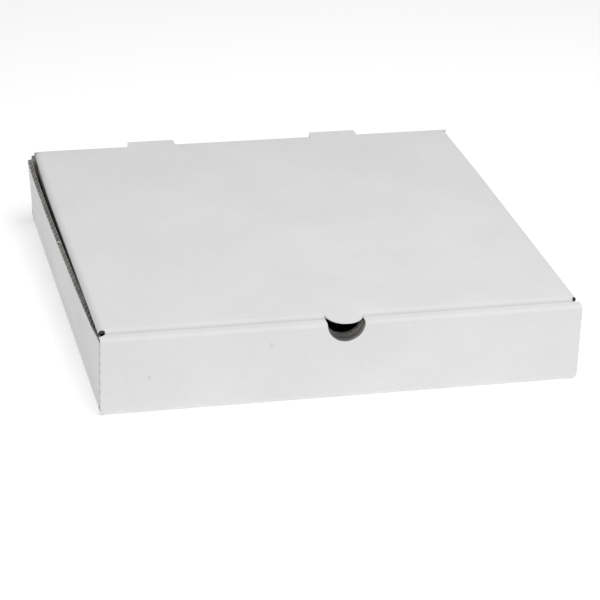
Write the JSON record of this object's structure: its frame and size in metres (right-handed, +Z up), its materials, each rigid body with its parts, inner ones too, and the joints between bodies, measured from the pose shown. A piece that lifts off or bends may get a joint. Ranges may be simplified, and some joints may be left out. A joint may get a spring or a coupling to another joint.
{
  "type": "pizza box",
  "caption": "Square, flat pizza box of white corrugated board with a rolled front wall, a thumb notch and a lid that hinges at the rear and tucks in at the front.",
  "frame": {"origin": "centre of the tray's underside, where the box rests", "axes": "+Z up, -Y the front with the thumb notch, +Y the rear with the lid's hinge, +X to the right seen from the front"},
  "size_m": [0.3126, 0.317, 0.0522],
  "materials": {
    "white_board": "matte white liner on corrugated board",
    "raw_board": "raw grey-brown inner liner and cut edges"
  },
  "bodies": {
    "tray": {"tray": "white_board"},
    "lid": {"lid": "white_board"}
  },
  "joints": [
    {"name": "lid_hinge", "type": "hinge", "parent": "tray", "child": "lid", "pos_m": [0, 0.151, 0.0507], "axis": [-1, 0, 0], "range_deg": [0, 180]}
  ]
}
